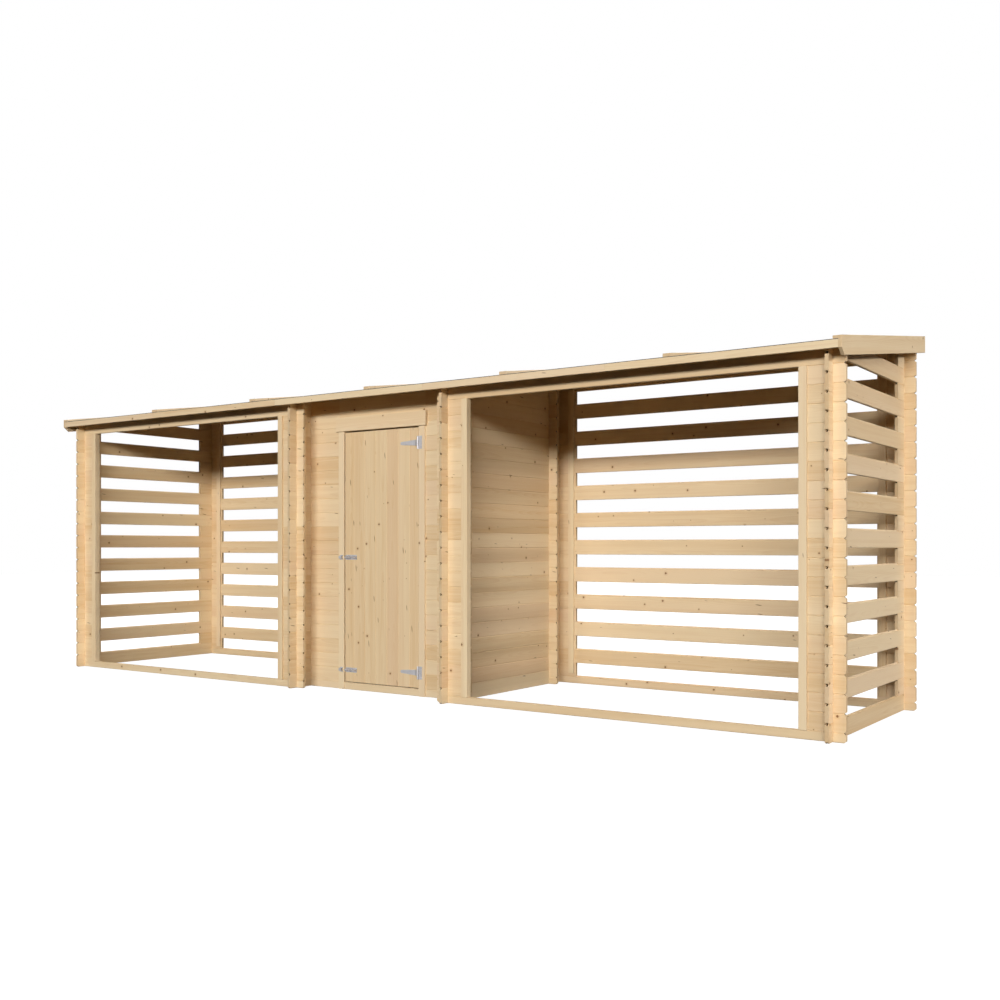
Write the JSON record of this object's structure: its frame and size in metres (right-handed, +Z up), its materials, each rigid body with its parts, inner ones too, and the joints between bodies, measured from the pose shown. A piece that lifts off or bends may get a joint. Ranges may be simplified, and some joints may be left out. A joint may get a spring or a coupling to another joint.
{
  "type": "log store",
  "caption": "Long timber log store: open slatted bays either side of a narrow tool shed with a hinged door, under one mono-pitch roof.",
  "frame": {"origin": "on the ground, under the middle of the roof's outline", "axes": "+X along the store to the right seen from the front, -Y towards the front, +Z up"},
  "size_m": [6.2204, 1.5576, 2.205],
  "materials": {
    "log_wood": "unpainted planed spruce",
    "frame_wood": "unpainted planed spruce",
    "roof_wood": "unpainted sawn spruce",
    "door_wood": "unpainted planed spruce boards",
    "roof_felt": "mineral roofing felt",
    "zinc_steel": "zinc plated, satin"
  },
  "bodies": {
    "store": {"left_end_wall": "log_wood", "right_end_wall": "log_wood", "left_partition": "log_wood", "right_partition": "log_wood", "left_bay_sill": "log_wood", "right_bay_sill": "log_wood", "left_bay_header": "log_wood", "right_bay_header": "log_wood", "left_bay_outer_stack": "log_wood", "left_bay_inner_stack": "log_wood", "right_bay_inner_stack": "log_wood", "right_bay_outer_stack": "log_wood", "left_bay_back_wall": "log_wood", "right_bay_back_wall": "log_wood", "shed_back_wall": "log_wood", "shed_front_left": "log_wood", "shed_front_right": "log_wood", "shed_front_over_door": "log_wood", "shed_threshold": "log_wood", "left_bay_posts": "frame_wood", "right_bay_posts": "frame_wood", "left_bay_back_strips": "frame_wood", "right_bay_back_strips": "frame_wood", "left_door_jamb": "frame_wood", "right_door_jamb": "frame_wood", "door_head_casing": "frame_wood", "roof_deck": "roof_wood", "front_fascia": "roof_wood", "back_fascia": "roof_wood", "left_bargeboard": "roof_wood", "right_bargeboard": "roof_wood", "roof_edge_battens": "roof_wood", "felt_battens": "roof_wood", "roof_felt": "roof_felt", "hinge_plates": "zinc_steel", "bolt_keepers": "zinc_steel"},
    "door": {"door_leaf": "door_wood", "door_ledges": "door_wood", "hinge_straps": "zinc_steel", "bolt_guides": "zinc_steel"},
    "upper_bolt": {"upper_bolt_rod": "zinc_steel"},
    "lower_bolt": {"lower_bolt_rod": "zinc_steel"}
  },
  "joints": [
    {"name": "door_hinge", "type": "hinge", "parent": "store", "child": "door", "pos_m": [0.319, -0.53375, 0.151], "axis": [0, 0, 1], "range_deg": [0, 140]},
    {"name": "upper_bolt_slide", "type": "slide", "parent": "door", "child": "upper_bolt", "axis": [-1, 0, 0], "range_m": [0, 0.035]},
    {"name": "lower_bolt_slide", "type": "slide", "parent": "door", "child": "lower_bolt", "axis": [-1, 0, 0], "range_m": [0, 0.035]}
  ]
}
